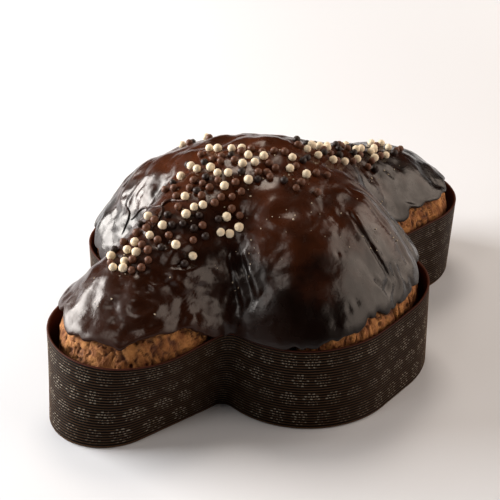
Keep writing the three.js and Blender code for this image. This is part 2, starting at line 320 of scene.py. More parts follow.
def ring_faces(rings, sides):
    """Faces of a closed body of rings of points between two poles: the first point and the last."""
    ring, side = np.meshgrid(np.arange(rings - 1), np.arange(sides), indexing="ij")
    nxt = (side + 1) % sides
    low, high = 1 + ring * sides, 1 + (ring + 1) * sides
    quads = np.stack([low + side, low + nxt, high + nxt, high + side], axis=-1).reshape(-1, 4)
    around = np.arange(sides)
    after = (around + 1) % sides
    last_ring, last = 1 + (rings - 1) * sides, 1 + rings * sides
    first_fan = np.stack([np.zeros(sides, int), 1 + after, 1 + around], axis=-1)
    last_fan = np.stack([last_ring + around, last_ring + after, np.full(sides, last)], axis=-1)
    return quads.tolist() + first_fan.tolist() + last_fan.tolist()


def ring_piece(name, first_pole, rings, last_pole, material, corner_uv=None, marks=None):
    """A closed piece from an array of rings, shaped (rings, sides, 3)."""
    points = np.concatenate([[first_pole], rings.reshape(-1, 3), [last_pole]])
    faces = ring_faces(rings.shape[0], rings.shape[1])
    return mesh_piece(name, points, faces, material, corner_uv, marks)


def with_poles(values):
    """Ring values with one more at each end for the poles."""
    flat = np.ravel(values)
    return np.concatenate([flat[:1], flat, flat[-1:]])


# ---------------------------------------------------------------- material helpers

SOFT = {"interpolation_type": "SMOOTHSTEP"}
COLOURS = {"data_type": "RGBA"}


def linear(hex_colour, alpha=1.0):
    """An sRGB hex colour as linear light."""
    channels = [int(hex_colour[i : i + 2], 16) / 255 for i in (1, 3, 5)]
    return (*[c / 12.92 if c <= 0.04045 else ((c + 0.055) / 1.055) ** 2.4 for c in channels], alpha)


def per_mm(size):
    """Noise scale in metres of object space that gives marks of a size in millimetres."""
    return 1 / (size * MM)


def new_material(name):
    """An empty node material and its tree."""
    material = bpy.data.materials.new(name)
    material.use_nodes = True
    material.node_tree.nodes.clear()
    return material, material.node_tree


def add(tree, kind, settings, inputs, output=0):
    """Adds a node, sets its attributes, fills its inputs by name or number and returns one output."""
    node = tree.nodes.new("ShaderNode" + kind)
    for key, value in settings.items():
        setattr(node, key, value)
    for key, value in inputs.items():
        if isinstance(value, bpy.types.NodeSocket):
            tree.links.new(value, node.inputs[key])
        else:
            node.inputs[key].default_value = value
    return node.outputs[output] if node.outputs else None


# ---------------------------------------------------------------- materials

CLOUD_LIFT = 0.085  # how many metres a cloudy noise of 0 to 1 adds to the height
# Painted light: the glaze is painted brown higher up the crown and towards the head.
CROWN_PAINTED_LIGHT = {"From Min": 0.108, "From Max": 0.165}  # height in metres
HEAD_PAINTED_LIGHT = {"From Min": -0.055, "From Max": -0.095, "To Max": 0.36}  # place along x in metres
# Each ring of a rosette: radius, where it fades out and in across, and where its marks end and start.
ROSETTE_RINGS = ((0.32, 0.075, 0.035, -0.2, 0.3), (0.18, 0.07, 0.03, 0.3, -0.2))


def glaze_material():
    """Dark chocolate couverture, poured and set: glossy and nearly black.

    It has painted light: brown painted on the higher parts of the crown and over the head, where light falls
    on them, broken up by cloudy noise. Its lip is duller.
    """
    material, tree = new_material("poured_dark_chocolate")
    place = add(tree, "TexCoord", {}, {}, "Object")
    height = add(tree, "SeparateXYZ", {}, {0: place}, "Z")
    cloud = add(tree, "TexNoise", {}, {"Vector": place, "Scale": per_mm(18), "Detail": 5.0})
    lifted = add(tree, "Math", {"operation": "MULTIPLY_ADD"}, {0: cloud, 1: CLOUD_LIFT, 2: height})
    # Painted light: higher up the crown and towards the head, the colour turns from near black to lit brown.
    crown = add(tree, "MapRange", SOFT, {"Value": lifted, **CROWN_PAINTED_LIGHT})
    along = add(tree, "SeparateXYZ", {}, {0: place}, "X")
    head = add(tree, "MapRange", SOFT, {"Value": along, **HEAD_PAINTED_LIGHT})
    thin = add(tree, "Math", {"operation": "MAXIMUM"}, {0: crown, 1: head})
    chocolate_and_painted_light = {6: linear(THICK_CHOCOLATE), 7: linear(LIT_CHOCOLATE_BROWN)}
    colour = add(tree, "Mix", COLOURS, {0: thin, **chocolate_and_painted_light}, 2)
    ripple = add(tree, "TexNoise", {}, {"Vector": place, "Scale": per_mm(3), "Detail": 3.0})
    bump = add(tree, "Bump", {}, {"Height": ripple, "Strength": 0.45, "Distance": 0.0004})
    smudge = add(tree, "TexNoise", {}, {"Vector": place, "Scale": per_mm(11), "Detail": 3.0})
    gloss = {"From Min": 0.3, "From Max": 0.7, "To Min": GLOSSY, "To Max": SMUDGED}
    gloss = add(tree, "MapRange", {}, {"Value": smudge, **gloss})
    lip = add(tree, "Attribute", {"attribute_name": "lip"}, {}, "Fac")
    dull = add(tree, "Mix", {"data_type": "FLOAT"}, {0: lip, 2: gloss, 3: DULL_LIP})
    shine = add(tree, "Mix", {"data_type": "FLOAT"}, {0: lip, 2: SHINE, 3: LIP_SHINE})
    look = {"Base Color": colour, "Roughness": dull, "Specular IOR Level": shine, "Normal": bump}
    add(tree, "OutputMaterial", {}, {"Surface": add(tree, "BsdfPrincipled", {}, look)})
    return material


def crust_material():
    """Baked enriched dough: matt, golden on the ridges, with dark brown painted shade down in the cracks and
    pits.
    """
    material, tree = new_material("baked_crust")
    place = add(tree, "TexCoord", {}, {}, "Object")
    crack_and_shade = add(tree, "Attribute", {"attribute_name": "crack_and_shade"}, {}, "Fac")
    tan = add(tree, "TexNoise", {}, {"Vector": place, "Scale": per_mm(5), "Detail": 6.0})
    light = add(tree, "MapRange", SOFT, {"Value": tan, "From Min": 0.35, "From Max": 0.65})
    colour = add(tree, "Mix", COLOURS, {0: light, 6: linear(CRUST_BROWN), 7: linear(CRUST_GOLD)}, 2)
    # Painted shade: the colour turns dark brown down in the cracks and pits.
    colour = add(tree, "Mix", COLOURS, {0: crack_and_shade, 6: colour, 7: linear(CRUST_CRACK_SHADE)}, 2)
    crumb = add(tree, "TexNoise", {}, {"Vector": place, "Scale": per_mm(1.2), "Detail": 5.0})
    bump = add(tree, "Bump", {}, {"Height": crumb, "Strength": 1.0, "Distance": 0.0008})
    look = {"Base Color": colour, "Roughness": 0.85, "Normal": bump}
    add(tree, "OutputMaterial", {}, {"Surface": add(tree, "BsdfPrincipled", {}, look)})
    return material


def rosette_mask(tree, across, up):
    """Staggered rosettes: a centre dot and two rings of marks, the inner ones between the outer ones."""
    row = add(tree, "Math", {"operation": "FLOOR"}, {0: up})
    shifted = add(tree, "Math", {"operation": "MULTIPLY_ADD"}, {0: row, 1: 0.5, 2: across})
    cell = add(tree, "CombineXYZ", {}, {0: shifted, 1: up})
    part = add(tree, "VectorMath", {"operation": "FRACTION"}, {0: cell})
    local = add(tree, "VectorMath", {"operation": "SUBTRACT"}, {0: part, 1: (0.5, 0.5, 0)})
    reach = add(tree, "VectorMath", {"operation": "LENGTH"}, {0: local}, "Value")
    local_x = add(tree, "SeparateXYZ", {}, {0: local}, "X")
    local_y = add(tree, "SeparateXYZ", {}, {0: local}, "Y")
    turn = add(tree, "Math", {"operation": "ARCTAN2"}, {0: local_y, 1: local_x})
    turns = add(tree, "Math", {"operation": "MULTIPLY"}, {0: turn, 1: ROSETTE_PETALS})
    petals = add(tree, "Math", {"operation": "COSINE"}, {0: turns})
    mask = add(tree, "MapRange", SOFT, {"Value": reach, "From Min": 0.08, "From Max": 0.04})
    for radius, wide, thin, gap, mark in ROSETTE_RINGS:
        off = add(tree, "Math", {"operation": "SUBTRACT"}, {0: reach, 1: radius})
        away = add(tree, "Math", {"operation": "ABSOLUTE"}, {0: off})
        ring = add(tree, "MapRange", SOFT, {"Value": away, "From Min": wide, "From Max": thin})
        marks = add(tree, "MapRange", SOFT, {"Value": petals, "From Min": gap, "From Max": mark})
        dots = add(tree, "Math", {"operation": "MULTIPLY"}, {0: ring, 1: marks})
        mask = add(tree, "Math", {"operation": "MAXIMUM"}, {0: mask, 1: dots})
    return mask


def print_share(tree, place, across, up, rib):
    """How much pale print shows: rosettes on the crests of the ribs, rubbed thin in places."""
    crest = add(tree, "MapRange", SOFT, {"Value": rib, "From Min": 0.0, "From Max": 0.6})
    speckle = add(tree, "TexNoise", {}, {"Vector": place, "Scale": per_mm(1.1), "Detail": 2.0})
    kept = add(tree, "MapRange", SOFT, {"Value": speckle, "From Min": 0.36, "From Max": 0.52})
    patch = add(tree, "TexNoise", {}, {"Vector": place, "Scale": per_mm(26), "Detail": 1.0})
    strong = add(tree, "MapRange", {}, {"Value": patch, "From Min": 0.35, "From Max": 0.62, "To Min": 0.25})
    share = rosette_mask(tree, across, up)
    for factor in (crest, kept, strong):
        share = add(tree, "Math", {"operation": "MULTIPLY"}, {0: share, 1: factor})
    return share


def paper_material(columns):
    """Ribbed brown baking paper: matt, with painted highlight along the crests of its ribs, a worn pale print
    on its ribs and a raw reddish edge.
    """
    material, tree = new_material("ribbed_baking_paper")
    place = add(tree, "TexCoord", {}, {}, "Object")
    flat = add(tree, "UVMap", {"uv_map": "paper"}, {})
    share_round = add(tree, "SeparateXYZ", {}, {0: flat}, "X")
    share_up = add(tree, "SeparateXYZ", {}, {0: flat}, "Y")
    across = add(tree, "Math", {"operation": "MULTIPLY"}, {0: share_round, 1: float(columns)})
    up = add(tree, "Math", {"operation": "MULTIPLY"}, {0: share_up, 1: float(ROSETTE_ROWS)})
    turn = add(tree, "Math", {"operation": "MULTIPLY"}, {0: share_up, 1: 2 * math.pi * RIBS})
    rib = add(tree, "Math", {"operation": "COSINE"}, {0: turn})
    tone = add(tree, "TexNoise", {}, {"Vector": place, "Scale": per_mm(25), "Detail": 3.0})
    brown = add(tree, "Mix", COLOURS, {0: tone, 6: linear(PAPER_DARK), 7: linear(PAPER_LIGHT)}, 2)
    # Painted highlight: the crests of the ribs are lighter.
    crest = add(tree, "MapRange", SOFT, {"Value": rib, "From Min": 0.3, "From Max": 0.95})
    brown = add(tree, "Mix", COLOURS, {0: crest, 6: brown, 7: linear(PAPER_CREST_HIGHLIGHT)}, 2)
    printed = print_share(tree, place, across, up, rib)
    colour = add(tree, "Mix", COLOURS, {0: printed, 6: brown, 7: linear(PALE_PRINT)}, 2)
    cut = 1 - RAW_EDGE / CASE_HEIGHT
    raw = add(tree, "MapRange", SOFT, {"Value": share_up, "From Min": cut, "From Max": 0.4 * cut + 0.6})
    colour = add(tree, "Mix", COLOURS, {0: raw, 6: colour, 7: linear(RAW_PAPER)}, 2)
    fibre = add(tree, "TexNoise", {}, {"Vector": place, "Scale": per_mm(0.8), "Detail": 3.0})
    bump = add(tree, "Bump", {}, {"Height": fibre, "Strength": 0.3, "Distance": 0.0003})
    look = {"Base Color": colour, "Roughness": 0.5, "Specular IOR Level": 0.06, "Normal": bump}
    add(tree, "OutputMaterial", {}, {"Surface": add(tree, "BsdfPrincipled", {}, look)})
    return material


def pearl_material(name, colour):
    """Crisp cereal balls panned in chocolate: a soft satin coat, slightly uneven."""
    material, tree = new_material(name)
    place = add(tree, "TexCoord", {}, {}, "Object")
    cloud = add(tree, "TexNoise", {}, {"Vector": place, "Scale": per_mm(4), "Detail": 2.0})
    light, dark = linear(colour), tuple(PEARL_SHADE * c for c in linear(colour))
    shade = add(tree, "Mix", COLOURS, {0: cloud, 6: light, 7: dark}, 2)
    grain = add(tree, "TexNoise", {}, {"Vector": place, "Scale": per_mm(1.2), "Detail": 2.0})
    bump = add(tree, "Bump", {}, {"Height": grain, "Strength": 0.4, "Distance": 0.0003})
    look = {"Base Color": shade, "Roughness": 0.48, "Specular IOR Level": 0.35, "Normal": bump}
    add(tree, "OutputMaterial", {}, {"Surface": add(tree, "BsdfPrincipled", {}, look)})
    return material


# ---------------------------------------------------------------- paper case

FOOT_MIDDLE = 0.35  # share of the round foot at its one ring half way


def rim_height(angle):
    """Height of the cut edge of the paper, a little wavy."""
    return CASE_HEIGHT + RIM_WAVE * (np.sin(5 * angle + 1) + np.sin(9 * angle) - 2)


def case_radius(angle, height, inset):
    """Radius of the case's wall: the base and rim outlines, blended by height."""
    base, rim = outline_radius(angle, BASE, inset), outline_radius(angle, RIM, inset)
    return base + (rim - base) * np.clip(height / CASE_HEIGHT, 0, 1)


def case_uv(rings, share_up):
    """Corner UVs of the ring quads: the share of the way round, and the share of the way up."""
    across = np.arange(CASE_SIDES) / CASE_SIDES
    first = np.broadcast_to(across, (rings - 1, CASE_SIDES))
    second = first + 1 / CASE_SIDES
    low = np.broadcast_to(share_up[:-1, None], first.shape)
    high = np.broadcast_to(share_up[1:, None], first.shape)
    quads = np.stack([first, low, second, low, second, high, first, high], axis=-1).reshape(-1, 2)
    fan_corners = 2 * 3 * CASE_SIDES
    return np.concatenate([quads, np.zeros((fan_corners, 2))])


def even_angles(sides):
    """Turns that space points evenly along the rim, so that the print keeps its width."""
    fine = np.linspace(0, 2 * np.pi, 4001)
    radius = outline_radius(fine, RIM, 0)
    points = round_points(fine, radius, 0)
    length = np.concatenate([[0], np.cumsum(np.linalg.norm(np.diff(points, axis=0), axis=1))])
    even = np.interp(np.arange(sides) * length[-1] / sides, length, fine)
    return even, length[-1]


def build_case():
    """The case: a round foot, a wall whose radius follows a cosine wave of the height, and an inner face."""
    angle, girth = even_angles(CASE_SIDES)
    top = rim_height(angle)
    base, rim = outline_radius(angle, BASE, 0), outline_radius(angle, RIM, 0)
    middle = FOOT_MIDDLE * FOOT_ROUND
    rings = [round_points(angle, base - FOOT_ROUND, 0), round_points(angle, base - middle, middle)]
    share_up = [0.0, 0.0]
    for share in np.linspace(0, 1, RIBS * RIB_STEPS + 1):
        height = FOOT_ROUND + share * (top - FOOT_ROUND)
        rib = RIB_DEPTH * (0.5 - 0.5 * np.cos(2 * np.pi * share * RIBS))
        rings.append(round_points(angle, base + (rim - base) * height / CASE_HEIGHT - rib, height))
        share_up.append(share)
    for height in (top, top - RAW_EDGE, 2 * PAPER_THICKNESS):
        rings.append(round_points(angle, case_radius(angle, height, PAPER_THICKNESS), height))
        share_up.append(1.0)
    rings.append(round_points(angle, case_radius(angle, 0, PAPER_THICKNESS + FOOT_ROUND), PAPER_THICKNESS))
    share_up.append(1.0)
    uv = case_uv(len(rings), np.array(share_up))
    under, floor = (0, 0, 0), (0, 0, PAPER_THICKNESS)
    paper = paper_material(round(girth / ROSETTE_WIDTH))
    piece = ring_piece("ribbed_case", under, np.array(rings), floor, paper, uv)
    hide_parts("paper_case")


# ---------------------------------------------------------------- loaf

# Waves of noise: height, size (or sizes along x, y and z) and seed.
CRUST_WAVES = ((0.6, 5.0, 7), (0.5, (1.8, 1.8, 5.0), 8))
CRUST_SINK = 0.4
CRACK_DEPTH = 1.1
PIT_WAVES = ((-1.5, (2.4, 2.4, 3.8), 9), (-0.9, 1.7, 10))
PIT_LEAST = 0.65
CRACK_SIZE, CRACK_SEED, CRACK_WIDTH = (2.2, 2.2, 12.0), 5, 0.2
TORN_WAVES, TORN_SHARE = ((2.5, 9.0, 6),), 1.4
# The rings of the bare crust: how far past its edge they go, how they crowd, and how the relief fades.
CRUST_REACH, CRUST_CROWDING, CRUST_FADE = 1.3, 1.3, 0.25
UNDER_GLAZE = 0.6
COVERED_SHARES = (0.8, 0.5, 0.2)


def crust_cracks(points):
    """Pits and cracks from 0 to 1.

    Pits lie where lumpy noises are low, and upright cracks where a noise drawn out upwards is near zero.
    """
    pits = noise_sum(points, PIT_WAVES) - PIT_LEAST
    upright = 1 - np.abs(lattice_noise(points, CRACK_SIZE, CRACK_SEED)) / CRACK_WIDTH
    torn = np.clip(noise_sum(points, TORN_WAVES) + TORN_SHARE, 0, 1)
    return np.clip(np.maximum(pits, upright * torn), 0, 1)


def build_loaf():
    """The loaf: the crown with cracks cut in where it shows, carried down inside the paper to a flat foot."""
    angle = angles(LOAF_SIDES)
    floor, clear = PAPER_THICKNESS + FIT_GAP, PAPER_THICKNESS + 2 * FIT_GAP
    limit = case_radius(angle, CRUST_EDGE_HEIGHT, clear)
    rings = [
        round_points(angle, case_radius(angle, 0, clear + 2 * FOOT_ROUND), floor),
        round_points(angle, case_radius(angle, 0, clear), floor + 2 * FOOT_ROUND),
    ]
    cracks = [np.zeros(LOAF_SIDES)] * 2
    bare = bare_crust(angle) + UNDER_GLAZE
    for share in np.linspace(0, CRUST_REACH, LOAF_RINGS) ** CRUST_CROWDING:
        radius = np.minimum(outline_radius(angle, RIM, crust_inset(angle) + share * bare), limit)
        points, normal = crown_surface(radius * np.cos(angle), radius * np.sin(angle))
        fade = np.clip((CRUST_REACH - share) / CRUST_FADE, 0, 1)
        crack_and_shade = crust_cracks(points) * fade
        swell = noise_sum(points, CRUST_WAVES) - CRUST_SINK
        rings.append(points + normal * (swell * fade - CRACK_DEPTH * crack_and_shade)[:, None])
        cracks.append(crack_and_shade)
    for share in COVERED_SHARES:
        radius = share * glaze_radius(angle)
        rings.append(crown_surface(radius * np.cos(angle), radius * np.sin(angle))[0])
        cracks.append(np.zeros(LOAF_SIDES))
    top = crown_surface(np.zeros(1), np.zeros(1))[0][0]
    # The crack mark also lays painted shade into the crust's colour.
    marks = {"crack_and_shade": with_poles(np.array(cracks))}
    under = (0, 0, floor)
    crust = crust_material()
    piece = ring_piece("crusty_loaf", under, np.array(rings), top, crust, marks=marks)
    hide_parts("cake")


# ---------------------------------------------------------------- glaze

# Each fold: plan points it runs through, half width, ridge height and groove depth.
FOLDS = (
    (((-3, -58), (-5, -68), (-4, -78), (-1, -86)), 1.6, 0.5, 1.1),
    (((8, -46), (14, -58), (17, -70), (16, -84)), 2.2, 0.7, 0.5),
    (((16, -40), (25, -54), (28, -68), (25, -82)), 2.2, 0.7, 0.5),
    (((28, -36), (36, -50), (38, -62)), 2.4, 0.6, 0.3),
    (((-13, -84), (-9, -88), (-3, -86)), 1.3, 0.3, 1.0),
    (((4, -81), (3, -87), (-5, -90), (-8, -94)), 1.4, 0.6, 0.5),
    (((-62, -30), (-64, -40), (-67, -50)), 1.8, 0.9, 0.3),
    (((-56, -36), (-60, -46), (-63, -54)), 1.6, 0.7, 0.3),
    (((-40, 46), (-50, 52), (-58, 50)), 2.0, 0.8, 0.4),
    (((-30, 56), (-42, 64), (-54, 62)), 2.0, 0.7, 0.4),
    (((-20, 64), (-32, 74), (-44, 76)), 2.0, 0.7, 0.4),
)
# Each lump field: x, y, spread along x, spread along y, height, size.
LUMP_FIELDS = (
    (-96, -20, 28, 20, 1.9, 8.5),
    (-90, -20, 26, 18, 1.0, 5.5),
    (-56, -34, 22, 18, 1.0, 13.0),
    (-50, 50, 26, 26, 1.0, 9.0),
    (70, -18, 30, 20, 0.8, 9.0),
    (0, 0, 60, 26, 0.8, 9.5),
    (-14, -48, 30, 22, 0.9, 10.0),
)
# Each pit: x, y, half width, depth.
PITS = (
    (-26, -71, 1.3, 0.8),
    (13, -87, 1.3, 0.8),
    (18, -81, 1.2, 0.6),
    (-30, -87, 1.3, 0.7),
    (-35, -87, 1.2, 0.6),
)
# Waves of noise: height, size and seed.
GLAZE_WAVES = ((0.55, 16.0, 21), (0.34, 7.0, 22), (0.1, 3.2, 23))
WARP_WAVES = ((4.0, 20.0, 31),)
DRIP_WAVES = ((1.5, 8.0, 51), (0.8, 3.4, 52))
LUMP_SEEDS = (24, 25)
DEEPEST = 0.75  # share of the glaze's thickness that its hollows may take
STROKE_STEPS, STROKE_FADE = 25, 0.2
RIDGE_PLACE, GROOVE_WIDTH = 1.3, 0.7  # shares of a fold's half width
BEAD_HEIGHT, BEAD_WIDTH = 1.3, 4.0
ROOM_TO_PAPER, LIP_ROOM = 1.2, 0.9
UNDERSIDE_SHARES = (0.25, 0.5, 0.75, 0.9, 1.0)
LIP_TURNS = (-72, -50, -28, -8, 12, 32, 52, 72)  # degrees round the lip
LIP_BULGE, LIP_TOP, LIP_FADE = 0.7, 0.6, 0.9
MIDDLE = 60.0  # far enough inside the edge to have no bead


def smooth_path(path, steps, passes):
    """Even points along a path; each pass draws every inner point towards its two neighbours."""
    knots = np.array(path, float)
    place = np.linspace(0, len(knots) - 1, steps)
    order = np.arange(len(knots))
    curve = np.stack([np.interp(place, order, knots[:, i]) for i in (0, 1)], axis=-1)
    for _ in range(passes):
        curve[1:-1] = (curve[:-2] + 2 * curve[1:-1] + curve[2:]) / 4
    return curve


def stroke(x, y, path, half_width, ridge, groove):
    """A fold along a curved path: a bell-shaped ridge beside a bell-shaped groove, fading at both ends."""
    curve = smooth_path(path, STROKE_STEPS, 1)
    nearest = np.full(x.shape, np.inf)
    side, along = np.zeros(x.shape), np.zeros(x.shape)
    for index, (start, end) in enumerate(zip(curve[:-1], curve[1:])):
        step = end - start
        length = np.hypot(*step)
        part = np.clip(((x - start[0]) * step[0] + (y - start[1]) * step[1]) / length**2, 0, 1)
        off_x, off_y = x - start[0] - part * step[0], y - start[1] - part * step[1]
        gap = np.hypot(off_x, off_y)
        closer = gap < nearest
        side = np.where(closer, gap * np.sign(off_y * step[0] - off_x * step[1]), side)
        along = np.where(closer, (index + part) / (len(curve) - 1), along)
        nearest = np.where(closer, gap, nearest)
    end = np.clip(np.minimum(along, 1 - along) / STROKE_FADE, 0, 1)
    fade = np.clip(end * (3 - 2 * end), 0, 1)
    hill = ridge * np.exp(-(((side - RIDGE_PLACE * half_width) / half_width) ** 2))
    dip = groove * np.exp(-((side / (GROOVE_WIDTH * half_width)) ** 2))
    return (hill - dip) * fade


def glaze_relief(points):
    """Height of the glaze's waves, lumps, folds and pits above its even skin."""
    x, y = points[..., 0], points[..., 1]
    warp = noise_sum(points, WARP_WAVES)
    drawn = np.stack([x + warp, y - warp, points[..., 2]], axis=-1)
    relief = noise_sum(drawn, GLAZE_WAVES)
    coarse, fine = LUMP_SEEDS
    for centre_x, centre_y, spread_x, spread_y, height, size in LUMP_FIELDS:
        weight = np.exp(-(((x - centre_x) / spread_x) ** 2) - ((y - centre_y) / spread_y) ** 2)
        lumps = noise_sum(drawn, ((1.0, size, coarse), (0.5, size / 2, fine)))
        relief += height * weight * lumps
    for path, half_width, ridge, groove in FOLDS:
        relief += stroke(x, y, path, half_width, ridge, groove)
    for pit_x, pit_y, half_width, depth in PITS:
        relief -= depth * np.exp(-(((x - pit_x) ** 2 + (y - pit_y) ** 2) / half_width**2))
    return np.maximum(relief, -DEEPEST * GLAZE_THICKNESS)


def drips(angle):
    """How much further the real edge runs down than the even line, from noise along the edge."""
    edge = round_points(angle, glaze_radius(angle), 0)
    return noise_sum(edge, DRIP_WAVES)


def edge_bead(inside):
    """Extra thickness near the edge, where the glaze drew up into a rounded bead."""
    return BEAD_HEIGHT * np.exp(-((inside / BEAD_WIDTH) ** 2))


def glaze_surface(x, y, inside=MIDDLE):
    """Points on top of the glaze over a plan, and the crown's normals."""
    points, normal = crown_surface(x, y)
    lift = FIT_GAP + GLAZE_THICKNESS + glaze_relief(points) + edge_bead(inside)
    return points + normal * lift[..., None], normal


def build_glaze():
    """The glaze: an underside, a half-round lip, and the top surface back to the middle."""
    angle = angles(GLAZE_SIDES)
    room = outline_radius(angle, RIM, PAPER_THICKNESS + ROOM_TO_PAPER)
    shy = np.clip(bare_crust(angle) / BARE_CRUST, 0, 1)
    run = (drips(angle) - LIP_REACH) * shy + bumps_at(angle, NOTCH_RUNS)
    edge = np.minimum(glaze_radius(angle) + run, room - LIP_ROOM)
    cosine, sine = np.cos(angle), np.sin(angle)
    rings, lip = [], []
    for share in UNDERSIDE_SHARES:
        points, normal = crown_surface(share * edge * cosine, share * edge * sine)
        rings.append(points + normal * FIT_GAP)
        lip.append(np.ones(GLAZE_SIDES))
    over, normal = glaze_surface(edge * cosine, edge * sine, 0 * edge)
    under = rings[-1]
    away = np.cross(np.stack([-sine, cosine, 0 * angle], axis=-1), normal)
    away /= np.linalg.norm(away, axis=-1, keepdims=True)
    half = np.linalg.norm(over - under, axis=-1, keepdims=True) / 2
    for turn in np.radians(LIP_TURNS):
        outward = normal * math.sin(turn) + LIP_BULGE * away * math.cos(turn)
        rings.append((over + under) / 2 + half * outward)
        lip.append(np.ones(GLAZE_SIDES) * (1 - (1 - LIP_TOP) * max(math.sin(turn), 0)))
    for share in 1 - np.linspace(0, 1, GLAZE_RINGS + 1)[:-1] ** GLAZE_RING_POWER:
        radius = share * edge
        rings.append(glaze_surface(radius * cosine, radius * sine, edge - radius)[0])
        lip.append(LIP_TOP * np.exp(-(((edge - radius) / LIP_FADE) ** 2)))
    zero = np.zeros(1)
    lowest = crown_surface(zero, zero)[0][0] + (0, 0, FIT_GAP)
    top = glaze_surface(zero, zero)[0][0]
    marks = {"lip": with_poles(np.array(lip))}
    piece = ring_piece("poured_glaze", lowest, np.array(rings), top, glaze_material(), marks=marks)
    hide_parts("chocolate_glaze")


# ---------------------------------------------------------------- pearls

PEARL_SPREAD = 0.6  # a power: 0.5 would fill a patch evenly, and more crowds its middle
OUT_OF_ROUND, ROUND_SIZE, ROUND_SEED, ROUND_STEP = 0.06, 1.3, 40, 3
SIZE_CHANGE, SIZE_TURN = 0.06, 2.4
PEARL_LEVEL, SPECK_LEVEL = 2, 1  # balls of 80 and 20 faces


def pearl_places():
    """Places of the pearls by kind: each patch is filled by draws that keep clear of earlier pearls."""
    draw = number_stream(PEARL_SEED)
    placed, kinds = [], {}
    for kind, (name, radius) in enumerate(PEARL_KINDS):
        kinds[name] = []
        for patch_x, patch_y, half_x, half_y, counts in PEARL_PATCHES:
            found = 0
            for _ in range(TRIES_PER_PEARL * counts[kind]):
                if found == counts[kind]:
                    break
                turn, reach = 2 * math.pi * next(draw), next(draw) ** PEARL_SPREAD
                x = patch_x + half_x * reach * math.cos(turn)
                y = patch_y + half_y * reach * math.sin(turn)
                if all(math.hypot(px - x, py - y) > pr + radius for px, py, pr in placed):
                    placed.append((x, y, radius))
                    kinds[name].append((x, y))
                    found += 1
    return kinds


def ball_template(level):
    """Points and faces of a ball of a few dozen even faces, with radius 1."""
    ball = bmesh.new()
    bmesh.ops.create_icosphere(ball, subdivisions=level, radius=1.0)
    points = np.array([v.co[:] for v in ball.verts])
    faces = np.array([[v.index for v in f.verts] for f in ball.faces])
    ball.free()
    return points, faces


def scatter(name, plan, radius, sink, level, material):
    """One ball repeated over a plan and set into the glaze, each a little out of round."""
    ball, faces = ball_template(level)
    points, normal = glaze_surface(plan[:, 0], plan[:, 1])
    centre = points + normal * (radius - sink)[:, None]
    spread = ball[None] * ROUND_STEP + centre[:, None]
    uneven = 1 + OUT_OF_ROUND * lattice_noise(spread, ROUND_SIZE, ROUND_SEED)
    shapes = centre[:, None] + radius[:, None, None] * ball[None] * uneven[..., None]
    all_faces = (faces[None] + (np.arange(len(plan)) * len(ball))[:, None, None]).reshape(-1, 3)
    return mesh_piece(name, shapes.reshape(-1, 3), all_faces.tolist(), material)


def build_pearls():
    """Pearls of three chocolates over the crown, in sizes that differ by a few percent."""
    kinds = pearl_places()
    for index, (name, radius) in enumerate(PEARL_KINDS):
        plan = np.array(kinds[name])
        size = radius * (1 + SIZE_CHANGE * np.sin(np.arange(len(plan)) * SIZE_TURN + index))
        material = pearl_material(name + "_chocolate_pearls", PEARL_COLOURS[name])
        scatter(name + "_pearls", plan, size, PEARL_SINK + 0 * size, PEARL_LEVEL, material)


# ---------------------------------------------------------------- threads and specks

# Each thread of chocolate: plan points that it runs through and its half width.
THREADS = (
    (((-61, 3), (-62, 6), (-64, 8), (-67, 8)), 1.15),
    (((-67, 8), (-67, 13), (-62, 22), (-55, 32), (-57, 38), (-59, 42)), 0.7),
    (((-67, 8), (-70, 5), (-72, 4), (-76, 2), (-82, 1)), 0.75),
    (((-63, 7), (-62, 2), (-61, -4)), 0.65),
    (((-54, 51), (-57, 45), (-59, 44), (-63, 45)), 0.6),
)
THREAD_STEPS, THREAD_SIDES, THREAD_PASSES = 40, 8, 12
THREAD_END, THREAD_TAPER = 0.02, 0.35
THREAD_LIFT = 0.5  # share of its thickness that a thread stands above the glaze
# Each field of specks: x, y, half size along x and along y, how many.
SPECK_FIELDS = ((-40, -20, 30, 40, 60), (0, -45, 34, 34, 40), (60, -15, 34, 24, 16), (-104, -8, 18, 20, 10))
SPECK_SEED = 911
SPECK_SPREAD = 0.5
SPECK_LEAST, SPECK_RANGE = 0.2, 0.35
SPECK_SINK = 0.5  # share of its radius


def thread_rings(path, half_width):
    """A tube of round sections along a smoothed path over the glaze, thinned to nothing at both ends."""
    curve = smooth_path(path, THREAD_STEPS, THREAD_PASSES)
    points, normal = glaze_surface(curve[:, 0], curve[:, 1])
    ahead = np.gradient(points, axis=0)
    ahead /= np.linalg.norm(ahead, axis=-1, keepdims=True)
    side = np.cross(ahead, normal)
    share = np.linspace(THREAD_END, 1 - THREAD_END, THREAD_STEPS)
    thickness = half_width * np.sin(np.pi * share) ** THREAD_TAPER
    turn = angles(THREAD_SIDES)[None, :, None]
    around = np.cos(turn) * side[:, None] + np.sin(turn) * normal[:, None]
    return points[:, None] + thickness[:, None, None] * (around + THREAD_LIFT * normal[:, None])


def build_threads():
    """Threads of chocolate trailed over the head before the glaze set."""
    points, faces = [], []
    for path, half_width in THREADS:
        rings = thread_rings(path, half_width)
        start = len(points)
        closed = [rings[0].mean(axis=0), *rings.reshape(-1, 3), rings[-1].mean(axis=0)]
        points.extend(closed)
        faces.extend([[start + i for i in face] for face in ring_faces(THREAD_STEPS, THREAD_SIDES)])
    mesh_piece("chocolate_threads", np.array(points), faces, glaze_material())


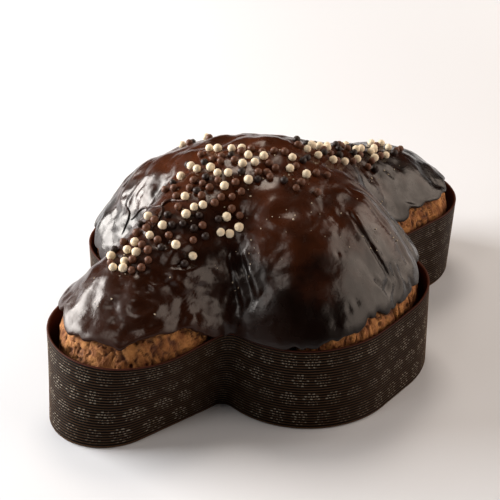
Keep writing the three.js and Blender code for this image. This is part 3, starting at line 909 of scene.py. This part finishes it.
def build_specks():
    """Specks of white chocolate dust from the pearls, caught in the glaze."""
    draw = number_stream(SPECK_SEED)
    plan, sizes = [], []
    for centre_x, centre_y, half_x, half_y, count in SPECK_FIELDS:
        for _ in range(count):
            turn, reach = 2 * math.pi * next(draw), next(draw) ** SPECK_SPREAD
            x = centre_x + half_x * reach * math.cos(turn)
            y = centre_y + half_y * reach * math.sin(turn)
            plan.append((x, y))
            sizes.append(SPECK_LEAST + SPECK_RANGE * next(draw) ** 2)
    size = np.array(sizes)
    material = pearl_material("white_chocolate_dust", DUST)
    scatter("chocolate_specks", np.array(plan), size, SPECK_SINK * size, SPECK_LEVEL, material)


# ---------------------------------------------------------------- camera, light and floor

CAMERA_TURN, CAMERA_RISE = -46.2, 29.05  # degrees
CAMERA_AWAY = 692.3  # mm
CAMERA_AIM = (5.2, 17.2, 40.0)
FOCAL_PIXELS, PHOTO_WIDTH, SENSOR = 1204.6, 500, 36.0

# Each panel: turn from +X and elevation in degrees, distance in metres, width and height, watts, colour.
PANELS = {
    "left_softbox": (122, 18, 1.1, (0.8, 0.5), 27, "#fffaf5"),
    "front_panel": (166, 26, 1.2, (0.4, 0.3), 1.4, "#fff7f0"),
    "high_panel": (-178, 53, 1.2, (0.3, 0.25), 1.1, "#fff0e4"),
    "right_panel": (-45, 24, 1.0, (1.7, 0.75), 10.2, "#ffebda"),
    "top_panel": (50, 60, 1.3, (0.5, 0.5), 6.5, "#ffeedd"),
}
PANEL_AIM = 0.07  # metres above the floor
FLOOR_REACH = 4.0  # metres
GLOW_STARTS = {"From Min": 0.3, "From Max": 1.1}  # metres from the loaf
# Metres behind the loaf as the camera sees it, and how much the floor glows there.
GLOW_BEHIND = {"From Min": -0.5, "From Max": 0.1, "To Min": 0.1, "To Max": 0.35}
VIEW_AWAY = (0.7, 0.7, 0)


def build_camera():
    """The photograph's viewpoint: turn 0 is on -Y and grows to +X."""
    data = bpy.data.cameras.new("camera")
    data.sensor_width = SENSOR
    data.lens = SENSOR * FOCAL_PIXELS / PHOTO_WIDTH
    camera = bpy.data.objects.new("camera", data)
    bpy.context.scene.collection.objects.link(camera)
    turn, rise = math.radians(CAMERA_TURN), math.radians(CAMERA_RISE)
    back = Vector((math.sin(turn) * math.cos(rise), -math.cos(turn) * math.cos(rise), math.sin(rise)))
    camera.location = (Vector(CAMERA_AIM) + back * CAMERA_AWAY) * MM
    camera.rotation_euler = back.to_track_quat("Z", "Y").to_euler()
    bpy.context.scene.camera = camera


def panel(name, turn, rise, away, size, power, colour):
    """A soft light panel facing the loaf, placed by compass angle from +X and by elevation."""
    data = bpy.data.lights.new(name, "AREA")
    data.shape = "RECTANGLE"
    data.size, data.size_y = size
    data.energy = power
    data.color = linear(colour)[:3]
    light = bpy.data.objects.new(name, data)
    bpy.context.scene.collection.objects.link(light)
    turn, rise = math.radians(turn), math.radians(rise)
    way = Vector((math.cos(turn) * math.cos(rise), math.sin(turn) * math.cos(rise), math.sin(rise)))
    light.location = way * away + Vector((0, 0, PANEL_AIM))
    light.rotation_euler = way.to_track_quat("Z", "Y").to_euler()


def floor_material():
    """Matt pale studio floor with painted light: it glows, more away from the loaf and behind it, so that it
    fades to white.
    """
    material, tree = new_material("pale_studio_floor")
    place = add(tree, "TexCoord", {}, {}, "Object")
    away = add(tree, "VectorMath", {"operation": "LENGTH"}, {0: place}, "Value")
    far = add(tree, "MapRange", SOFT, {"Value": away, **GLOW_STARTS})
    behind = add(tree, "VectorMath", {"operation": "DOT_PRODUCT"}, {0: place, 1: VIEW_AWAY}, "Value")
    lit = add(tree, "MapRange", SOFT, {"Value": behind, **GLOW_BEHIND})
    glow = add(tree, "Math", {"operation": "MULTIPLY"}, {0: far, 1: lit})
    light = {"Emission Color": linear(FLOOR_GLOW), "Emission Strength": glow}
    look = {"Base Color": linear(FLOOR_PALE), "Roughness": 0.8, **light}
    add(tree, "OutputMaterial", {}, {"Surface": add(tree, "BsdfPrincipled", {}, look)})
    return material


def build_studio():
    """Five soft panels, a pale floor and a nearly black surround."""
    for name, values in PANELS.items():
        panel(name, *values)
    material = floor_material()
    mesh = bpy.data.meshes.new("floor")
    reach = FLOOR_REACH
    corners = [(-reach, -reach, 0), (reach, -reach, 0), (reach, reach, 0), (-reach, reach, 0)]
    mesh.from_pydata(corners, [], [(0, 1, 2, 3)])
    mesh.materials.append(material)
    floor = bpy.data.objects.new("floor", mesh)
    bpy.context.scene.collection.objects.link(floor)
    world = bpy.data.worlds.new("studio")
    world.use_nodes = True
    world.node_tree.nodes["Background"].inputs["Color"].default_value = linear(WORLD_DARK)
    bpy.context.scene.world = world
    bpy.context.scene.view_settings.view_transform = "Standard"


build_camera()
build_studio()
build_case()
build_loaf()
build_glaze()
build_pearls()
build_threads()
build_specks()
